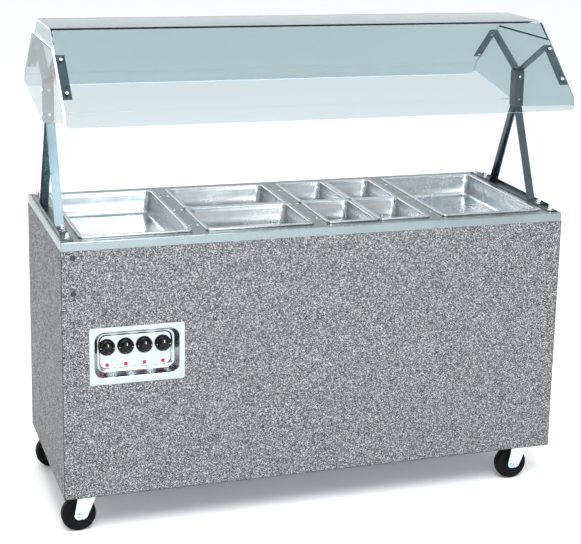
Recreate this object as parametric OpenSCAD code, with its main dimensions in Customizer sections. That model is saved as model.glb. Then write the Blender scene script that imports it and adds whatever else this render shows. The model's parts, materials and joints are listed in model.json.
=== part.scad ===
// Portable four-well hot food table with a two-sided breath guard.
// Origin: on the floor, under the plan centre of the cabinet.
// +X runs along the counter, +Y from the control side to the far side, +Z up.

/* [Counter and cabinet] */
// Length of the counter and cabinet
unit_length = 1524; // [1500:1:1600]
// Depth of the counter and cabinet, control side to far side
unit_depth = 610; // [590:1:640]
// Height of the counter surface above the floor
counter_height = 876; // [850:1:920]
// Height of the counter's turned-down rim
rim_height = 26; // [20:1:30]
// Thickness of the stainless sheet
sheet_t = 1.5; // [1:0.1:2]
// Thickness of the clad cabinet panels
panel_t = 3; // [2:0.5:4]
// Height of the panels' bottom edge above the floor
skirt_height = 121; // [115:1:122]
// Leg width of the bottom angle rails
rail_w = 38; // [30:1:45]
// Leg width of the corner posts and top rails
post_w = 25; // [20:1:27]
// Thickness of the frame angles
frame_t = 3; // [2:0.5:4]

/* [Wells and pans] */
// Distance between the centres of neighbouring wells
well_pitch = 363; // [350:1:370]
// How far the row of wells sits towards the control side
well_shift = 8; // [0:1:8]
// Width of a well opening, along the counter
opening_w = 305; // [303:1:307]
// Length of a well opening, across the counter
opening_l = 508; // [506:1:510]
// Depth of a well below the counter surface
well_depth = 165; // [140:1:180]
// Width of a full-size pan over its rim
pan_w = 324; // [322:1:326]
// Length of a full-size pan over its rim
pan_l = 527; // [525:1:529]
// Depth of the pans below the counter surface
pan_depth = 65; // [60:1:100]
// Diameter of a heating element's sheath
sheath_d = 8; // [6:0.5:9]

/* [Controls] */
// Centre of the control panel along the counter
control_x = -550.5; // [-560:0.5:-540]
// Centre of the control panel above the floor
control_z = 541; // [530:1:560]
// Width of the control panel's flange
flange_w = 273; // [270:1:280]
// Height of the control panel's flange
flange_h = 169; // [165:1:175]
// Depth of the recess behind the flange
recess_depth = 30; // [28:1:32]
// Distance between knobs
knob_pitch = 53.6; // [52:0.1:54]
// Diameter of a knob
knob_d = 47; // [40:1:48]
// Diameter of a switch shaft
shaft_d = 6; // [5:0.5:7]
// Side of a square indicator lens
lens_side = 13; // [10:1:14]

/* [Breath guard] */
// Length of the bent shield sheet along the counter, without its end panels
guard_length = 1504; // [1490:1:1510]
// Thickness of the shield and its end panels
guard_t = 6; // [5:0.5:8]
// Height of the flat top of the shield above the floor
guard_top = 1438; // [1400:1:1460]
// Half the width of the flat top
guard_top_half = 124; // [110:1:130]
// Half the width at the lower bends
guard_bend_half = 354; // [330:1:360]
// Height of the lower bends above the floor
guard_bend_z = 1243; // [1230:1:1260]
// Height of the shield's lower edges above the floor
guard_low_z = 1203; // [1190:1:1220]
// Height of the end flaps
flap_h = 54; // [50:1:60]
// Width of the bracket bars
bar_w = 26; // [22:1:28]
// Thickness of the bracket bars
bar_t = 3; // [2.5:0.5:4]

/* [Casters] */
// Distance of the caster stems from the unit's centre, along the counter
caster_x = 688; // [670:1:690]
// Distance of the caster stems from the unit's centre, across it
caster_y = 242; // [230:1:245]
// Height of a caster, floor to mounting face
caster_h = 127; // [125:1:130]
// Diameter of a wheel
wheel_d = 100; // [95:1:102]
// Width of a wheel
wheel_w = 32; // [28:1:34]
// How far the axle trails behind the stem
trail = 25; // [20:1:30]

/* [Hidden] */
$fn = 48;

half_l = unit_length / 2;
half_d = unit_depth / 2;
panel_top = counter_height - rim_height;
gap = 1;

// Wells, counted from the left
function well_x(i) = (i - 1.5) * well_pitch;
well_corner = 20;
well_flange = 10;
well_floor_z = counter_height - well_depth;
element_z = well_floor_z + sheet_t + 12;
element_step = 60;
element_half_run = 190;
element_turn = 15;
terminal_y = -well_shift - element_half_run - element_turn;

// Pans
pan_sheet = 1.2;
pan_step = 12;
pan_gap = 0.3;
pan_rim_z = 5;
rim_corner = 12;
ear_in = 5.2;
half_pan_l = (pan_l - gap) / 2;
quarter_pan_w = (pan_w - gap) / 2;

// Wiring duct and control box behind the front panel
duct_y = [-240, -186];
duct_x = [-690, 650];
duct_h = 57;
duct_bottom = well_floor_z - duct_h;
box_t = 1.2;
box_w = 280;
box_y = -205;

// Control panel: flange, mouth of the recess and its floor
control_y = -half_d;
flange_t = 1.2;
mouth = [240, 130, 27];
recess_floor = [214, 107, 18];
mouth_rise = 2;
flange_corner = 7;
floor_y = control_y - flange_t + recess_depth;
knob_z = control_z + 16;
lens_z = control_z - 36;
knob_y = floor_y - 3;
knob_skirt = 8;
knob_height = 21;
grip_r = 17;
bushing_r = 4.5;
function knob_x(i) = control_x - 1.5 + (i - 1.5) * knob_pitch;

// Cord entry on the far side
gland_x = -650;
gland_z = 205;
gland_bore_r = 5.5;
gland_r = 10;

// Screws that hold the rear panel to the frame
rear_screw_x = half_l - panel_t - post_w / 2;
REAR_SCREWS = concat(
    [for (side = [-1, 1], z = [200 : 200 : 800]) [side * rear_screw_x, z]],
    [for (x = [-370, 0, 370]) [x, caster_h + rail_w / 2 + frame_t]]);
screw_r = 2.1;

// Guard profile, in the Y-Z plane, over the far half
ridge = [guard_top_half, guard_top];
bend = [guard_bend_half, guard_bend_z];
lip = [guard_bend_half + 12, guard_low_z];
slope = unit(bend - ridge);
inward = [slope.y, -slope.x];
panel_from = 74;
flange_from = 95;
flange_to = 256;
SHIELD_SCREWS = [113, 233];

// Guard brackets; each post stands against the inner face of an end panel
post_side = bar_w / 2 + 1;
bracket_x = guard_length / 2 - post_side;
post_depth = 40;
guard_post_z = [1157, 1268];
tab_y = post_depth / 2 - bar_t;
leg_foot_y = 142;
foot_l = 68;
leg_flange = 18;
base_top = counter_height + bar_t;
tab_w = bar_w - 6.5;
base_l = 576;
base_flange_h = 8;
base_flange_l = 520;
POST_BOLTS = [1180, 1250];
GUARD_STUDS = [-272, -leg_foot_y - 54, leg_foot_y + 54, 272];
stud_r = 3;
stud_hole_r = 3.2;
nut_hex_r = 7;

// Casters, counted front left, front right, rear left, rear right
CASTERS = [[-1, -1], [1, -1], [-1, 1], [1, 1]];
plate_size = [92, 64];
plate_holes = [74, 46];
plate_t = 3;
gusset = [122, 105];
axle_z = wheel_d / 2;
axle_r = 5;
kingpin_r = 4;
crown_r = 26;
crown_z = [111, 117.6];
race_r = 24;
run_gap = 0.06;
fork_in = wheel_w / 2 + 2;
fork_t = 3;
bolt_r = 4;

// Unit vector along v
function unit(v) = v / norm(v);

// v turned a quarter turn to the left
function left(v) = [-v.y, v.x];

// Points of a path moved sideways by d, with mitred corners
function shifted(p, d) = [
    for (i = [0 : len(p) - 1])
        let (
            before = i > 0 ? left(unit(p[i] - p[i - 1])) : left(unit(p[1] - p[0])),
            after = i < len(p) - 1 ? left(unit(p[i + 1] - p[i])) : before
        )
        p[i] + d * (before + after) / (1 + before * after)];

// Outline of a bent strip of thickness t, on the left of its path
function back(p) = [for (i = [len(p) - 1 : -1 : 0]) p[i]];
function strip_outline(p, t) = concat(p, back(shifted(p, t)));

// Point on the shield's slope: d down from the ridge, depth in from the outer face
function on_slope(d, depth) = ridge + d * slope + depth * inward;

// Rectangle with round corners, centred
module round_rect(w, h, r) {
    square([w - 2 * r, h], center = true);
    square([w, h - 2 * r], center = true);
    for (x = [-1, 1], y = [-1, 1])
        translate([x * (w / 2 - r), y * (h / 2 - r)]) circle(r);
}

// Upright prism on a round-cornered rectangle
module round_block(w, l, r, z0, z1) {
    translate([0, 0, z0]) linear_extrude(z1 - z0) round_rect(w, l, r);
}

// Box between two corners
module span(low, high) {
    translate(low) cube(high - low);
}

// Upright rod between two heights
module rod(r, z0, z1) {
    translate([0, 0, z0]) cylinder(r = r, h = z1 - z0);
}

// Extrude a Y-Z outline along X, centred on x
module across(x, width) {
    translate([x - width / 2, 0, 0])
        rotate([90, 0, 90]) linear_extrude(width) children();
}

// Lay something built upright along -Y, its foot at the given place
module facing_front(x, y, z) {
    translate([x, y, z]) rotate([90, 0, 0]) children();
}

// Repeat at the eight studs that hold the guard to the counter
module at_guard_studs() {
    for (s = [-1, 1], y = GUARD_STUDS) translate([s * bracket_x, y, 0]) children();
}

// Repeat at the sixteen caster bolts
module at_caster_bolts() {
    for (c = CASTERS, x = [-1, 1], y = [-1, 1])
        translate([
            c.x * caster_x + x * plate_holes.x / 2,
            c.y * caster_y + y * plate_holes.y / 2, 0]) children();
}

module counter_top() {
    color("lightsteelblue") difference() {
        span([-half_l, -half_d, panel_top], [half_l, half_d, counter_height]);
        span([sheet_t - half_l, sheet_t - half_d, panel_top - gap],
            [half_l - sheet_t, half_d - sheet_t, counter_height - sheet_t]);
        for (i = [0 : 3])
            translate([well_x(i), -well_shift, 0])
                round_block(opening_w, opening_l, well_corner,
                    panel_top, counter_height + gap);
        at_guard_studs() rod(stud_hole_r, panel_top, counter_height + gap);
    }
}

module front_panel() {
    color("darkgray") difference() {
        span([-half_l, -half_d, skirt_height], [half_l, panel_t - half_d, panel_top]);
        translate([control_x, 0, control_z + mouth_rise])
            cube([mouth.x + 6, unit_depth + 2 * gap, mouth.y + 6], center = true);
        for (z = [729, 831])
            facing_front(-729, 0, z) cylinder(r = 5, h = half_d + gap);
    }
}

module rear_panel() {
    color("darkgray") difference() {
        span([-half_l, half_d - panel_t, skirt_height], [half_l, half_d, panel_top]);
        for (p = REAR_SCREWS)
            facing_front(p.x, half_d + gap, p.y) cylinder(r = screw_r, h = panel_t + 2 * gap);
        facing_front(gland_x, half_d + gap, gland_z)
            cylinder(r = gland_r, h = panel_t + 2 * gap);
    }
}

module end_panel(side) {
    inner = half_l - panel_t;
    color("dimgray") span(
        [side < 0 ? -half_l : inner, panel_t - half_d, skirt_height],
        [side < 0 ? -inner : half_l, half_d - panel_t, panel_top]);
}

// Ring of angle section: outer size out, leg w, upright leg between z0 and z1,
// flat leg at the bottom (flat = z0) or at the top
module angle_ring(out, w, z0, z1, flat) {
    wall = out - [frame_t, frame_t];
    hole = out - [w, w];
    difference() {
        span([-out.x, -out.y, z0], [out.x, out.y, z1]);
        span([-wall.x, -wall.y, flat == z0 ? z0 + frame_t : z0 - gap],
            [wall.x, wall.y, flat == z0 ? z1 + gap : z1 - frame_t]);
        span([-hole.x, -hole.y, z0 - gap], [hole.x, hole.y, z1 + gap]);
    }
}

module cabinet_frame() {
    out = [half_l - panel_t, half_d - panel_t];
    top_z = counter_height - sheet_t;
    color("slategray") difference() {
        union() {
            angle_ring(out, rail_w, caster_h, caster_h + rail_w, caster_h);
            angle_ring(out, post_w, top_z - post_w, top_z, top_z);
            for (x = [0, 1], y = [0, 1]) mirror([x, 0, 0]) mirror([0, y, 0]) {
                difference() {
                    span([out.x - post_w, out.y - post_w, caster_h], [out.x, out.y, top_z]);
                    span([out.x - post_w - gap, out.y - post_w - gap, caster_h - gap],
                        [out.x - frame_t, out.y - frame_t, top_z + gap]);
                }
                span([out.x - gusset.x, out.y - gusset.y, caster_h],
                    [out.x, out.y, caster_h + frame_t]);
            }
        }
        at_caster_bolts() rod(bolt_r, caster_h - gap, caster_h + frame_t + gap);
        at_guard_studs() rod(stud_hole_r, top_z - frame_t - gap, top_z + gap);
        for (p = REAR_SCREWS)
            facing_front(p.x, out.y + gap, p.y) cylinder(r = screw_r, h = frame_t + 2 * gap);
    }
}

module floor_pan() {
    in_x = half_l - panel_t - frame_t;
    in_y = half_d - panel_t - frame_t;
    z0 = caster_h + frame_t;
    color("silver") difference() {
        span([-in_x, -in_y, z0], [in_x, in_y, z0 + sheet_t]);
        for (c = CASTERS)
            translate([c.x * in_x, c.y * in_y, z0])
                cube([2 * post_w, 2 * post_w, 4 * sheet_t], center = true);
        at_caster_bolts() rod(bolt_r, z0 - gap, z0 + sheet_t + gap);
    }
}

module panel_screws() {
    color("silver")
        for (p = REAR_SCREWS) {
            facing_front(p.x, half_d + 2.5, p.y) cylinder(r = 4.5, h = 2.5);
            facing_front(p.x, half_d + gap, p.y) cylinder(r = screw_r, h = 12);
        }
}

module front_hole_plugs() {
    color("black")
        for (z = [729, 831]) {
            facing_front(-729, -half_d, z) cylinder(r1 = 8, r2 = 5, h = 3);
            facing_front(-729, 8 - half_d, z) cylinder(r = 5, h = 9);
        }
}

// Strain-relief fitting that the supply cord would leave through
module cord_gland() {
    color("dimgray") difference() {
        union() {
            facing_front(gland_x, half_d + 5, gland_z) cylinder(r = 15, h = 5, $fn = 6);
            facing_front(gland_x, half_d + 18, gland_z) cylinder(r1 = 9, r2 = 12, h = 13);
            facing_front(gland_x, half_d + 4, gland_z) cylinder(r = gland_r, h = 22);
            facing_front(gland_x, half_d - panel_t, gland_z) cylinder(r = 15, h = 5, $fn = 6);
        }
        facing_front(gland_x, half_d + 19, gland_z) cylinder(r = gland_bore_r, h = 40);
    }
}

module well(i) {
    under = counter_height - sheet_t;
    out_w = opening_w + 2 * sheet_t;
    out_l = opening_l + 2 * sheet_t;
    color("gainsboro") translate([well_x(i), -well_shift, 0]) difference() {
        union() {
            round_block(out_w, out_l, well_corner + sheet_t, well_floor_z, under);
            round_block(out_w + 2 * well_flange, out_l + 2 * well_flange, well_flange,
                under - sheet_t, under);
        }
        round_block(opening_w, opening_l, well_corner, well_floor_z + sheet_t, under + gap);
        for (s = [-1, 1])
            translate([s * 1.5 * element_step, terminal_y + well_shift, 0])
                rod(sheath_d / 2 + 1, well_floor_z - gap, well_floor_z + 2 * sheet_t);
    }
}

// Arc of the element's sheath about the Z axis
module sheath_arc(r, angle) {
    rotate_extrude(angle = angle) translate([r, 0]) circle(sheath_d / 2);
}

module element_run(x) {
    translate([x, -element_half_run, element_z]) rotate([-90, 0, 0])
        cylinder(d = sheath_d, h = 2 * element_half_run);
}

// Four straight runs joined by hairpin bends, with both ends turned down
module heating_element() {
    for (k = [-1.5 : 1 : 1.5]) element_run(k * element_step);
    for (k = [-1, 1])
        translate([k * element_step, element_half_run, element_z])
            sheath_arc(element_step / 2, 180);
    translate([0, -element_half_run, element_z]) rotate([0, 0, 180])
        sheath_arc(element_step / 2, 180);
    for (k = [-1.5, 1.5]) translate([k * element_step, 0, 0]) {
        translate([0, -element_half_run, element_z - element_turn])
            rotate([90, 0, -90]) sheath_arc(element_turn, 90);
        translate([0, -element_half_run - element_turn, 0])
            rod(sheath_d / 2, well_floor_z - 20, element_z - element_turn);
    }
    for (y = [-120, 120])
        span([-105, y - 5, well_floor_z + sheet_t], [105, y + 5, element_z - sheath_d / 2 + 0.6]);
}

module heating_elements() {
    color("dimgray")
        for (i = [0 : 3]) translate([well_x(i), -well_shift, 0]) heating_element();
}

// Bar that carries pan rims across an opening; its ears rest on the counter
module adapter_bar(length) {
    half = length / 2;
    top = counter_height - 0.2;
    difference() {
        span([-8, gap - half, top - 14], [8, half - gap, top]);
        span([-6.8, -half, top - 15], [6.8, half, top - pan_sheet]);
    }
    for (x = [0, 1], y = [0, 1]) mirror([x, 0, 0]) mirror([0, y, 0]) {
        span([ear_in, half - 8, top - pan_sheet], [8, half - gap, counter_height + 1]);
        span([ear_in, half - 8, counter_height], [8, half + 5, counter_height + 1]);
    }
}

module adapter_bars() {
    color("silver") {
        translate([well_x(1), -well_shift, 0]) rotate([0, 0, 90]) adapter_bar(opening_w);
        translate([well_x(2), -well_shift, 0]) adapter_bar(opening_l);
    }
}

module wire_duct() {
    low = [duct_x[0], duct_y[0], duct_bottom];
    high = [duct_x[1], duct_y[1], well_floor_z];
    wall = [box_t, box_t, box_t];
    color("lightgray") difference() {
        span(low, high);
        span(low + wall, high - wall);
        for (i = [0 : 3], s = [-1.5, 1.5])
            translate([well_x(i) + s * element_step, terminal_y, 0])
                rod(sheath_d / 2 + 1, well_floor_z - 2 * box_t, well_floor_z + gap);
        translate([control_x, (duct_y[0] + duct_y[1]) / 2, duct_bottom])
            cube([60, 36, 4 * box_t], center = true);
    }
}

// Sheet box behind the front panel that covers the switches; open at the front
module control_box() {
    low = [control_x - box_w / 2, panel_t - half_d, control_z - flange_h / 2 + 4];
    high = [control_x + box_w / 2, box_y, duct_bottom];
    color("silver") difference() {
        span(low, high);
        span(low + [box_t, -gap, box_t], high - [box_t, box_t, box_t]);
        translate([control_x, (duct_y[0] + box_y) / 2, duct_bottom])
            cube([60, 20, 4 * box_t], center = true);
    }
}

// Thin round-cornered slab on edge, its front face at y
module slab(size, extra, y) {
    translate([control_x, y, control_z + mouth_rise]) rotate([90, 0, 0])
        linear_extrude(0.1) round_rect(size.x + extra, size.y + extra, size.z + extra / 2);
}

module control_recess() {
    front = control_y - flange_t;
    color("lightsteelblue") difference() {
        union() {
            translate([control_x, control_y, control_z]) rotate([90, 0, 0])
                linear_extrude(flange_t) round_rect(flange_w, flange_h, flange_corner);
            hull() {
                slab(mouth, 2 * flange_t, front + 0.2, $fn = 32);
                slab(recess_floor, 2 * flange_t, floor_y + flange_t, $fn = 32);
            }
        }
        hull() {
            slab(mouth, 0, front - 0.1, $fn = 32);
            slab(recess_floor, 0, floor_y, $fn = 32);
        }
        for (i = [0 : 3]) {
            facing_front(knob_x(i), floor_y + 5, knob_z) cylinder(r = bushing_r + 0.1, h = 10);
            translate([knob_x(i), floor_y, lens_z])
                cube([lens_side - 2, 10, lens_side - 2], center = true);
        }
    }
}

module infinite_switches() {
    back_y = floor_y + flange_t;
    color("dimgray")
        for (i = [0 : 3]) difference() {
            union() {
                translate([knob_x(i) - 18, back_y, knob_z - 20]) cube([36, 32, 40]);
                facing_front(knob_x(i), back_y + gap, knob_z)
                    cylinder(r = bushing_r, h = flange_t + gap + 2);
            }
            facing_front(knob_x(i), back_y + 14, knob_z)
                cylinder(r = shaft_d / 2 + run_gap, h = 20);
        }
}

module lamp_holders() {
    color("dimgray")
        for (i = [0 : 3])
            span([knob_x(i) - 5, floor_y + 0.5, lens_z - 5],
                [knob_x(i) + 5, floor_y + 24, lens_z + 5]);
}

module indicator_lenses() {
    half = lens_side / 2;
    color("red")
        for (i = [0 : 3]) {
            span([knob_x(i) - half, floor_y - 3, lens_z - half],
                [knob_x(i) + half, floor_y, lens_z + half]);
            span([knob_x(i) - 5, floor_y - gap, lens_z - 5],
                [knob_x(i) + 5, floor_y + 0.5, lens_z + 5]);
        }
}

module switch_shaft(i) {
    color("gold") facing_front(knob_x(i), floor_y + flange_t + 12, knob_z)
        cylinder(d = shaft_d, h = flange_t + 12 + 16);
}

// Round skirt, round grip and a pointer rib on the skirt
module knob(i) {
    color("black") facing_front(knob_x(i), knob_y, knob_z) difference() {
        union() {
            cylinder(r1 = knob_d / 2, r2 = knob_d / 2 - 2, h = knob_skirt);
            cylinder(r1 = grip_r, r2 = grip_r - 2, h = knob_height);
            translate([-1.5, 0, knob_skirt - 1]) cube([3, knob_d / 2 - 4, 2]);
        }
        translate([0, 0, -gap]) cylinder(d = shaft_d, h = 14 + gap);
    }
}

// Pan with a flat rim that is turned down at its edge
module pan(w, l, corner) {
    body_w = w - 2 * pan_step;
    body_l = l - 2 * pan_step;
    difference() {
        union() {
            round_block(w, l, rim_corner, pan_gap, pan_rim_z + pan_sheet);
            round_block(body_w, body_l, corner, -pan_depth, pan_rim_z);
        }
        difference() {
            round_block(w - 2 * pan_sheet, l - 2 * pan_sheet, rim_corner - pan_sheet,
                pan_gap - gap, pan_rim_z);
            round_block(body_w, body_l, corner, -pan_depth, pan_rim_z + gap);
        }
        round_block(body_w - 2 * pan_sheet, body_l - 2 * pan_sheet, corner - pan_sheet,
            pan_sheet - pan_depth, pan_rim_z + 2 * pan_sheet);
    }
}

module place_pan(i, x, y) {
    color("white") translate([well_x(i) + x, y - well_shift, counter_height]) children();
}

module full_pan(i) {
    place_pan(i, 0, 0) pan(pan_w, pan_l, 30);
}

module half_pan(side) {
    place_pan(1, 0, side * (half_pan_l + gap) / 2) pan(pan_w, half_pan_l, 26);
}

module quarter_pan(x, y) {
    place_pan(2, x * (quarter_pan_w + gap) / 2, y * (half_pan_l + gap) / 2)
        pan(quarter_pan_w, half_pan_l, 22);
}

// Turn upright work on end so that it stands on the slope, d down from the ridge
module on_shield(x, d, side) {
    p = on_slope(d, 0);
    tilt = atan2(slope.x, -slope.y) - 90;
    translate([x, side * p.x, p.y]) rotate([side * tilt, 0, 0]) children();
}

module at_shield_screws() {
    for (x = [-bracket_x, bracket_x], side = [-1, 1], d = SHIELD_SCREWS)
        on_shield(x, d, side) children();
}

// Repeat on the axis of each screw through an end panel into a post,
// from the end panel's outer face
module at_side_screws() {
    for (s = [0, 1], z = POST_BOLTS) mirror([s, 0, 0])
        translate([guard_length / 2 + guard_t, 0, z]) rotate([0, 90, 0]) children();
}

// Points of the far half with their mirror images, in order along the profile
function mirrored(half) = concat([for (p = back(half)) [-p.x, p.y]], half);

// Half of an end panel's outline: slope, bend, lip, then straight in to the post's foot
END_PANEL = [
    on_slope(panel_from, 0), bend, bend + 0.66 * (lip - bend),
    [post_depth / 2, guard_post_z[0]]];

// Bent sheet with a flap and a panel at each end
module guard_shield() {
    flap_low = ridge + slope * flap_h / -slope.y;
    color("lightblue", 0.5) difference() {
        union() {
            across(0, guard_length + 0.2)
                polygon(strip_outline(mirrored([ridge, bend, lip]), -guard_t));
            for (s = [-1, 1]) {
                across(s * (guard_length - guard_t) / 2, guard_t)
                    polygon(mirrored([[ridge.x, ridge.y - gap], [flap_low.x - gap, flap_low.y]]));
                across(s * (guard_length + guard_t) / 2, guard_t) polygon(mirrored(END_PANEL));
            }
        }
        at_shield_screws() rod(2.7, -2 * guard_t, guard_t);
        at_side_screws() rod(screw_r, -guard_t - gap, gap);
    }
}

// Strip that lies along each end of the counter, turned up along its outer edge
module guard_bases() {
    edge = bracket_x + bar_w / 2 + 0.4;
    color("slategray") difference() {
        union() for (s = [0, 1]) mirror([s, 0, 0]) {
            span([bracket_x - post_side, -base_l / 2, counter_height],
                [edge + bar_t, base_l / 2, base_top]);
            across(edge + bar_t / 2, bar_t) translate([0, base_top])
                polygon([[-base_flange_l / 2, -1], [20 - base_flange_l / 2, base_flange_h],
                    [base_flange_l / 2 - 20, base_flange_h], [base_flange_l / 2, -1]]);
        }
        at_guard_studs() rod(stud_hole_r, counter_height - gap, base_top + gap);
    }
}

// Side view of a leg: foot on the base, slope, then a tab inside the post
LEG_PATH = [
    [leg_foot_y + foot_l, base_top + bar_t], [leg_foot_y, base_top + bar_t],
    [tab_y - 0.1, guard_post_z[0] - 4], [tab_y - 0.1, guard_post_z[0] + 36]];

// Side view of the leg's stiffening flange, inside the slope
LEG_FLANGE = [
    [leg_foot_y - 2, base_top + 2 * bar_t], [tab_y, guard_post_z[0] - 6],
    [tab_y - 9, guard_post_z[0] - 6], [leg_foot_y - leg_flange - 6, base_top + 2 * bar_t]];

module guard_leg(s) {
    side_x = s * (bracket_x + bar_w / 2 - bar_t - 4.6);
    across(s * bracket_x, tab_w) intersection() {
        polygon(strip_outline(LEG_PATH, bar_t));
        translate([0, guard_post_z[0] - 3]) square([unit_depth, guard_top]);
    }
    across(s * bracket_x, bar_w) intersection() {
        polygon(strip_outline(LEG_PATH, bar_t));
        square([unit_depth, guard_post_z[0] - 2]);
    }
    across(side_x, bar_t) polygon(LEG_FLANGE);
}

module guard_legs() {
    color("slategray") difference() {
        for (s = [-1, 1], y = [0, 1]) mirror([0, y, 0]) guard_leg(s);
        at_guard_studs() rod(stud_hole_r, base_top - gap, base_top + bar_t + gap);
        at_post_bolts() cylinder(r = screw_r, h = post_depth + 20, center = true);
    }
}

// Repeat on the axis of each bolt through the two posts
module at_post_bolts() {
    for (s = [-1, 1], z = POST_BOLTS)
        translate([s * bracket_x, 0, z]) rotate([90, 0, 0]) children();
}

// Rectangular tube that joins legs and arms
module guard_posts() {
    color("slategray") difference() {
        for (s = [-1, 1]) translate([s * bracket_x, 0, 0]) difference() {
            span([-post_side, -post_depth / 2, guard_post_z[0]],
                [post_side, post_depth / 2, guard_post_z[1]]);
            span([bar_t - post_side, bar_t - post_depth / 2, guard_post_z[0] - gap],
                [post_side - bar_t, post_depth / 2 - bar_t, guard_post_z[1] + gap]);
        }
        at_post_bolts() cylinder(r = screw_r, h = post_depth + 2, center = true);
        at_side_screws() rod(screw_r, -guard_t - bar_t - gap, gap);
    }
}

// Side view of an arm: tab inside the post, slope, then a flange under the shield
ARM_PATH = [
    [tab_y - 0.1, guard_post_z[1] - 40], [tab_y - 0.1, guard_post_z[1] + 3],
    on_slope(flange_from, guard_t + bar_t), on_slope(flange_to, guard_t + bar_t)];

module guard_arms() {
    color("slategray") difference() {
        for (s = [-1, 1], y = [0, 1]) mirror([0, y, 0]) {
            across(s * bracket_x, tab_w) intersection() {
                polygon(strip_outline(ARM_PATH, bar_t));
                translate([-post_depth, 0]) square([2 * post_depth, guard_post_z[1] + 3]);
            }
            across(s * bracket_x, bar_w) intersection() {
                polygon(strip_outline(ARM_PATH, bar_t));
                translate([0, guard_post_z[1] + 2]) square([unit_depth, guard_top]);
            }
        }
        at_shield_screws() rod(2.7, -3 * guard_t, guard_t);
        at_post_bolts() cylinder(r = screw_r, h = post_depth + 20, center = true);
    }
}

// Screws through the shield and its end panels, bolts through the posts
module guard_screws() {
    under = guard_t + bar_t;
    color("silver") {
        at_shield_screws() {
            cylinder(r1 = 5.5, r2 = 4, h = 3);
            rod(2.5, -under - 6, gap);
            translate([0, 0, -under - 4]) cylinder(r = 5, h = 4, $fn = 6);
        }
        at_post_bolts() {
            cylinder(r = screw_r - 0.1, h = post_depth + 2, center = true);
            for (side = [0, 1]) mirror([0, 0, side])
                translate([0, 0, post_depth / 2]) cylinder(r1 = 4.5, r2 = 3, h = 3);
        }
        at_side_screws() {
            cylinder(r1 = 4.5, r2 = 3, h = 3);
            rod(screw_r - 0.1, -14, gap);
        }
    }
}

// Studs with domed nuts that hold each base strip and leg foot to the counter
module guard_nuts() {
    color("white") {
        for (s = [-1, 1], y = GUARD_STUDS) {
            seat = abs(y) < 200 ? base_top + bar_t : base_top;
            translate([s * bracket_x, y, 0]) {
                rod(8, seat, seat + 1.5);
                translate([0, 0, seat + 1]) cylinder(r = nut_hex_r, h = 8, $fn = 6);
                translate([0, 0, seat + 8]) cylinder(r = 5.4, h = 4);
                translate([0, 0, seat + 12]) sphere(5.4);
                rod(stud_r, counter_height - 16, seat + 4);
                translate([0, 0, counter_height - sheet_t - frame_t - 6])
                    cylinder(r = nut_hex_r, h = 6, $fn = 6);
            }
        }
    }
}

// Mounting plate with the fixed race and the kingpin
module caster_plates() {
    color("silver")
        for (c = CASTERS) translate([c.x * caster_x, c.y * caster_y, 0]) {
            difference() {
                round_block(plate_size.x, plate_size.y, 6, caster_h - plate_t, caster_h);
                for (x = [-1, 1], y = [-1, 1])
                    translate([x * plate_holes.x / 2, y * plate_holes.y / 2, 0])
                        rod(bolt_r, caster_h - 2 * plate_t, caster_h + gap);
            }
            rod(race_r, crown_z[1] + 0.4, caster_h - plate_t);
            rod(kingpin_r, crown_z[0] - gap, caster_h - plate_t);
            rod(8, crown_z[0] - 4.4, crown_z[0] - 0.4);
        }
}

module caster_bolts() {
    under = caster_h - plate_t;
    over = caster_h + frame_t + sheet_t;
    color("silver") at_caster_bolts() {
        rod(bolt_r - 0.1, under - 2, over + 8);
        translate([0, 0, under - 5]) cylinder(r = 6.5, h = 5, $fn = 6);
        translate([0, 0, over]) cylinder(r = 6.5, h = 6, $fn = 6);
    }
}

// Swivelling fork: a round crown and two legs that carry the axle
module caster_fork(i) {
    c = CASTERS[i];
    eye_r = 14;
    color("silver") translate([c.x * caster_x, c.y * caster_y, 0]) difference() {
        union() {
            rod(crown_r, crown_z[0], crown_z[1]);
            for (s = [-1, 1])
                translate([0, s * (fork_in + fork_t / 2) + fork_t / 2, 0])
                    rotate([90, 0, 0]) linear_extrude(fork_t) {
                        polygon([
                            [-26, crown_z[1] - 1], [24, crown_z[1] - 1], [24, crown_z[0] - 5],
                            [-3, axle_z - 8], [eye_r - trail - 2, axle_z - eye_r],
                            [-eye_r - trail, axle_z], [-29, crown_z[0] - 8]]);
                        translate([-trail, axle_z]) circle(eye_r);
                    }
        }
        rod(kingpin_r + run_gap, 0, caster_h);
        translate([-trail, 0, axle_z]) rotate([90, 0, 0])
            cylinder(r = axle_r, h = 60, center = true);
    }
}

module caster_axle(i) {
    c = CASTERS[i];
    end = fork_in + fork_t;
    color("gainsboro")
        translate([c.x * caster_x - trail, c.y * caster_y, axle_z]) rotate([90, 0, 0]) {
            cylinder(r = axle_r, h = 2 * end + 2, center = true);
            for (s = [0, 1]) mirror([0, 0, s])
                translate([0, 0, end]) cylinder(r = 8, h = 5, $fn = 6);
        }
}

// Wheel with a crowned tread and recessed sides
module caster_wheel(i) {
    c = CASTERS[i];
    half = wheel_w / 2;
    rim = wheel_d / 2;
    color("black")
        translate([c.x * caster_x - trail, c.y * caster_y, axle_z]) rotate([90, 0, 0])
            rotate_extrude($fn = 96) polygon([
                [axle_r + run_gap, -half - 1.5], [12, -half - 1.5], [14, -half + 5],
                [rim - 16, -half + 5], [rim - 13, -half], [rim - 4, -half],
                [rim - 1, -half + 4], [rim, -half + 9],
                [rim, half - 9], [rim - 1, half - 4],
                [rim - 4, half], [rim - 13, half], [rim - 16, half - 5],
                [14, half - 5], [12, half + 1.5], [axle_r + run_gap, half + 1.5]]);
}

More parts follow.
